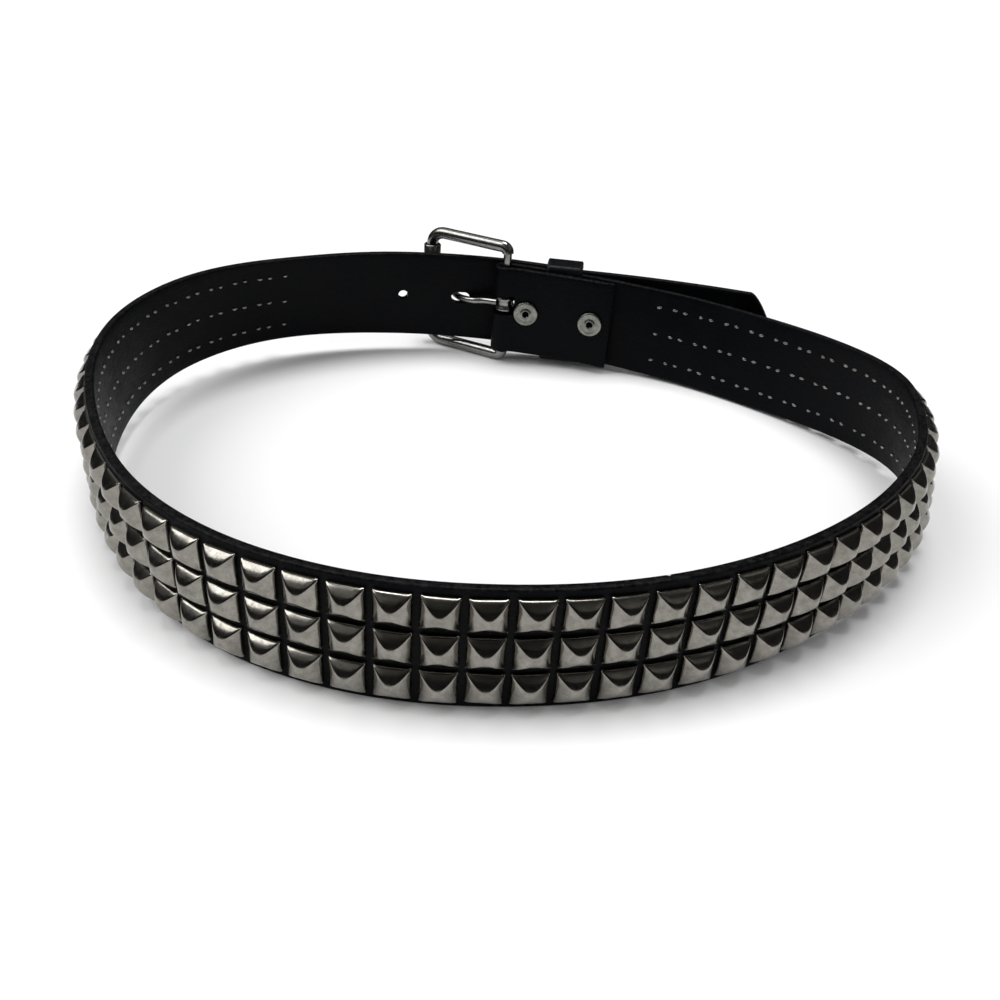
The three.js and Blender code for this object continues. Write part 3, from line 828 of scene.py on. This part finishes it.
def make_buckle():
    quarter = np.linspace(0, np.pi / 2, 9)
    small, large = BAR_CORNER_RADIUS, FRAME_CORNER_RADIUS
    near = [(small * (1 - math.cos(a)), FRAME_SIDE - small * (1 - math.sin(a))) for a in quarter]
    far = [(FRAME_REACH - large * (1 - math.sin(a)), FRAME_SIDE - large * (1 - math.cos(a))) for a in quarter]
    run = [(away, FRAME_SIDE) for away in np.linspace(small, FRAME_REACH - large, 8)[1:-1]]
    upper = near + run + far
    end = FRAME_SIDE - large
    far_run = [(FRAME_REACH, up) for up in np.linspace(end, -end, 10)[1:-1]]
    lower = [(away, -up) for away, up in reversed(upper)]
    places = [(away, splay_out(away), up) for away, up in upper + far_run + lower]
    line = smooth_line(in_buckle(places), BOW_STEPS)
    bow = tube(line, FRAME_WIRE_DIAMETER / 2, BOW_SIDES, up_hint=BUCKLE[0, 2])
    height = np.linspace(-FRAME_SIDE, FRAME_SIDE, 24)
    bar_line = in_buckle([(0, -FOLD_RADIUS, h) for h in height])
    bar = tube(bar_line, BAR_DIAMETER / 2, WIRE_SIDES, up_hint=BUCKLE[0, 2])
    points, faces = joined([bow, bar])
    return make_piece("buckle", points, faces, BUCKLE_NICKEL, ["buckle_frame"])


# How far the roller's ends are rounded
ROLLER_LIP = 0.35


def make_roller():
    half = ROLLER_LENGTH / 2
    lip = ROLLER_LIP
    profile = [
        (ROLLER_BORE, -half + lip), (ROLLER_BORE + lip * 0.4, -half), (ROLLER_RADIUS - lip, -half),
        (ROLLER_RADIUS, -half + lip), (ROLLER_RADIUS, -half / 2), (ROLLER_RADIUS, 0),
        (ROLLER_RADIUS, half / 2), (ROLLER_RADIUS, half - lip), (ROLLER_RADIUS - lip, half),
        (ROLLER_BORE + lip * 0.4, half), (ROLLER_BORE, half - lip), (ROLLER_BORE, 0),
    ]
    points, faces = turned_shape(BUCKLE, -FRAME_REACH, FAR_BAR_OUT, FRAME_LIFT, profile, TURNED_SIDES, "up")
    piece = make_piece("roller_tube", points, faces, BUCKLE_NICKEL, ["roller"])
    piece.data.set_sharp_from_angle(angle=math.radians(60))
    return piece


# The ring's section from its rim to its waist: depth over the bore, and share of the half width
RING_FLANGE = [
    (0.2, 1.0), (0.7, 0.99), (1.1, 0.93), (1.5, 0.83),
    (1.7, 0.7), (1.62, 0.55), (1.2, 0.38), (0.95, 0.15),
]
# Shares of the tongue's length, and the share of its thickness lost towards the point
TONGUE_POINT_FROM = 0.965
TONGUE_POINT_LENGTH = 0.036
TONGUE_TAPER = 0.14


def make_prong():
    half = PRONG_RING_WIDTH / 2
    inner = FOLD_RADIUS
    over = [(inner + depth, half * share) for depth, share in RING_FLANGE]
    bore = [(inner, half * share) for share in (0.95, 0, -0.95)]
    profile = [(r, -h) for r, h in over] + over[::-1] + bore
    ring = turned_shape(BUCKLE, 0, -FOLD_RADIUS, FRAME_LIFT, profile, TURNED_SIDES, "up")
    radius = PRONG_DIAMETER / 2
    rest = FAR_BAR_OUT + ROLLER_RADIUS + SEAT_CLEARANCE + radius
    places = [((FOLD_RADIUS + RING_RADIUS) / 2, -FOLD_RADIUS, 0)]
    places += [(PRONG_HOLE_REACH * at["reach"], LAP_SEAT * at["out"], -FRAME_LIFT * at["drop"])
               for at in PRONG_BELOW_STRAP]
    places += [(FRAME_REACH * at["reach"], rest * at["out"], -FRAME_LIFT) for at in PRONG_OVER_STRAP]
    places.append((FRAME_REACH + ROLLER_RADIUS + PRONG_TIP_PAST, rest + PRONG_TIP_RISE, -FRAME_LIFT))
    line = smooth_line(in_buckle(places), TONGUE_STEPS)
    t = np.linspace(0, 1, len(line))
    point = np.clip((t - TONGUE_POINT_FROM) / TONGUE_POINT_LENGTH, 0, 1)
    rounding = np.sqrt(np.clip(1 - point**2, 0.03, 1))
    tongue = tube(line, radius * PRONG_SLIMNESS * (1 - TONGUE_TAPER * t) * rounding, WIRE_SIDES)
    points, faces = joined([ring, tongue])
    return make_piece("tongue", points, faces, BUCKLE_NICKEL, ["prong"])


# A snap from the middle of its bore: the flared eye inside, the post, and the domed cap outside
def make_snap(name, node, distance):
    post, bore, flange = SNAP_POST_DIAMETER / 2, SNAP_BORE_DIAMETER / 2, SNAP_DIAMETER / 2
    inside = -LAYER_SPACE - STRAP_THICKNESS - 1.5 * SEAT_CLEARANCE
    face = inside - SNAP_FLANGE
    outside = STRAP_THICKNESS + SEAT_CLEARANCE
    cap = outside + SNAP_CAP - SEAT_CLEARANCE
    profile = [
        (0.001, outside - 0.6), (bore, outside - 0.6), (bore, face + 0.5), (bore + 0.12, face + 0.12),
        (bore + 0.4, face), (bore + 0.75, face + 0.1), (bore + 1.05, face + 0.42), (bore + 1.35, face + 0.5),
        (flange * 0.72, face + 0.36), (flange * 0.86, face + 0.22), (flange * 0.95, face + 0.3),
        (flange, face + 0.62), (flange - 0.05, inside - 0.12), (flange - 0.3, inside), (post, inside),
        (post, outside), (flange - 0.3, outside), (flange, outside + 0.25), (flange * 0.93, cap - 0.45),
        (flange * 0.74, cap - 0.16), (flange * 0.4, cap - 0.03), (0.001, cap),
    ]
    points, faces = turned_shape(frames_at(distance), 0, 0, 0, profile, SNAP_SIDES, "out")
    return make_piece(name, points, faces, SNAP_NICKEL, [node])


# How far the keeper's cut edges are rounded
KEEPER_SOFTNESS = 0.45
# How far in from them the leather is worn
KEEPER_WEAR = 1


def make_keeper():
    low, high = -KEEPER_CLEARANCE, LAP_SEAT + STRAP_THICKNESS + KEEPER_CLEARANCE
    half = HALF_WIDTH + KEEPER_HEADROOM
    soft = KEEPER_SOFTNESS
    quarter = np.linspace(0, np.pi / 2, 7)

    def outline(grow, radius):
        points = []
        for corner, (out, up) in enumerate(((1, 1), (-1, 1), (-1, -1), (1, -1))):
            edge_out = (high if out > 0 else low) + out * (grow - radius)
            edge_up = up * (half + grow - radius)
            for a in quarter + corner * np.pi / 2:
                points.append((edge_out + math.cos(a) * radius, edge_up + math.sin(a) * radius))
        return np.array(points)

    rims = [(0, KEEPER_INNER_RADIUS), (KEEPER_THICKNESS, KEEPER_CORNER_RADIUS)]
    inner, outer = (outline(grow, radius) for grow, radius in rims)
    wide = KEEPER_WIDTH / 2
    places = [(-wide + soft, 0), (-wide, 0.5), (-wide + soft, 1)]
    places += [(x, 1) for x in np.linspace(-wide + 1.6, wide - 1.6, 6)]
    places += [(wide - soft, 1), (wide, 0.5), (wide - soft, 0), (0, 0)]
    along = np.array([x for x, _ in places])
    mix = np.array([m for _, m in places])
    middle = inner[:, None] * (1 - mix[:, None]) + outer[:, None] * mix[:, None]
    out, up = middle[..., 0], middle[..., 1]
    rows, columns = out.shape
    frames = np.repeat(frames_at(KEEPER_MIDDLE), rows, 0)
    points = loft(frames, np.broadcast_to(along, (rows, columns)), out, up)
    edge = np.tile(np.array([1.0 if abs(x) > wide - KEEPER_WEAR else 0.0 for x in along]), rows)
    faces = grid_faces(rows, columns, ring=True)
    return make_piece("keeper_loop", points, faces, KEEPER_LEATHER, ["keeper"], edge=edge)


make_strap()
make_studs()
make_stud_prongs()
make_buckle()
make_roller()
make_prong()
make_snap("snap_near", "snap_first", SNAP_FIRST)
make_snap("snap_far", "snap_second", SNAP_SECOND)
make_keeper()


# Floor and light, in metres
SQUARE = [(-1, -1), (1, -1), (1, 1), (-1, 1)]
FLOOR_REACH = 12
FLOOR_GREY = 0.86
FLAG_REACH = 0.33
FLAG_HEIGHT = 0.2


def make_floor():
    mesh = bpy.data.meshes.new("floor")
    corners = [(x * FLOOR_REACH, y * FLOOR_REACH, 0) for x, y in SQUARE]
    mesh.from_pydata(corners, [], [(0, 1, 2, 3)])
    n = Nodes(bpy.data.materials.new("floor"))
    n.set(Base_Color=rgb(FLOOR_GREY, FLOOR_GREY, FLOOR_GREY), Roughness=0.9)
    n.shader.inputs["Specular IOR Level"].default_value = 0.1
    mesh.materials.append(n.owner)
    floor = bpy.data.objects.new("floor", mesh)
    scene.collection.objects.link(floor)


# Low dark screens round the floor, which only the metal's reflections show
def make_flags():
    points = [(x * FLAG_REACH, y * FLAG_REACH, z) for z in (0, FLAG_HEIGHT) for x, y in SQUARE]
    mesh = bpy.data.meshes.new("flags")
    mesh.from_pydata(points, [], [(i, (i + 1) % 4, (i + 1) % 4 + 4, i + 4) for i in range(4)])
    n = Nodes(bpy.data.materials.new("flags"))
    n.set(Base_Color=rgb(0.02, 0.02, 0.02), Roughness=1.0)
    mesh.materials.append(n.owner)
    flags = bpy.data.objects.new("flags", mesh)
    for ray in ("camera", "diffuse", "transmission", "volume_scatter", "shadow"):
        setattr(flags, "visible_" + ray, False)
    scene.collection.objects.link(flags)


def towards(azimuth, elevation):
    a, e = math.radians(azimuth), math.radians(elevation)
    return Vector((math.cos(a) * math.cos(e), math.sin(a) * math.cos(e), math.sin(e)))


# A far, wide light: azimuth 0 lies along +X; glossy False keeps it out of reflections
def make_sun(name, azimuth, elevation, strength, angle, glossy=True):
    data = bpy.data.lights.new(name, "SUN")
    data.energy = strength
    data.angle = math.radians(angle)
    lamp = bpy.data.objects.new(name, data)
    lamp.rotation_euler = towards(azimuth, elevation).to_track_quat("Z", "Y").to_euler()
    lamp.visible_glossy = glossy
    scene.collection.objects.link(lamp)


# The world: a plain white wall to the camera, a dim uneven room to reflections, and dark to the rest
WALL = 1.0
DARK = 0.02
ROOM_DIM = 0.02
ROOM_LIT = 0.34
ROOM_CLOUDS = 3.4
# The room is darkest a little to the right
DARKEST_ACROSS = 0.2


def make_world():
    n = Nodes(bpy.data.worlds.new("studio"))

    def mixed(factor, a, b):
        return n.add("MixShader", {0: factor, 1: a, 2: b}).outputs["Shader"]

    direction = n.add("TexCoord").outputs["Generated"]
    cloud = n.add("TexNoise", {"Vector": direction, "Scale": ROOM_CLOUDS, "Detail": 3.0}).outputs["Fac"]
    across = n.add("SeparateXYZ", {"Vector": direction}).outputs["X"]
    sideways = n.math("ABSOLUTE", n.math("SUBTRACT", across, DARKEST_ACROSS))
    lit = n.math("MULTIPLY", n.span(cloud, 0.34, 0.60), n.span(sideways, 0.05, 0.48, 0.1, 1.0))
    strength = n.span(lit, 0, 1, ROOM_DIM, ROOM_LIT)
    room = n.add("Background", {"Color": rgb(0.96, 0.98, 0.93), "Strength": strength})
    dark = n.tree.nodes["Background"]
    dark.inputs["Color"].default_value = rgb(0.92, 0.96, 1)
    dark.inputs["Strength"].default_value = DARK
    wall = n.add("Background", {"Color": rgb(1, 1, 1), "Strength": WALL})
    ray = n.add("LightPath").outputs
    unseen = mixed(ray["Is Glossy Ray"], dark.outputs[0], room.outputs[0])
    surface = mixed(ray["Is Camera Ray"], unseen, wall.outputs[0])
    n.feed(n.tree.nodes["World Output"].inputs["Surface"], surface)
    scene.world = n.owner


make_floor()
make_flags()
make_sun("window", 187, 47, 1.5, 38)
make_sun("ceiling", 90, 80, 1.85, 30)
make_sun("fill", -90, 55, 1.25, 120, glossy=False)
make_world()
scene.view_settings.view_transform = "Standard"
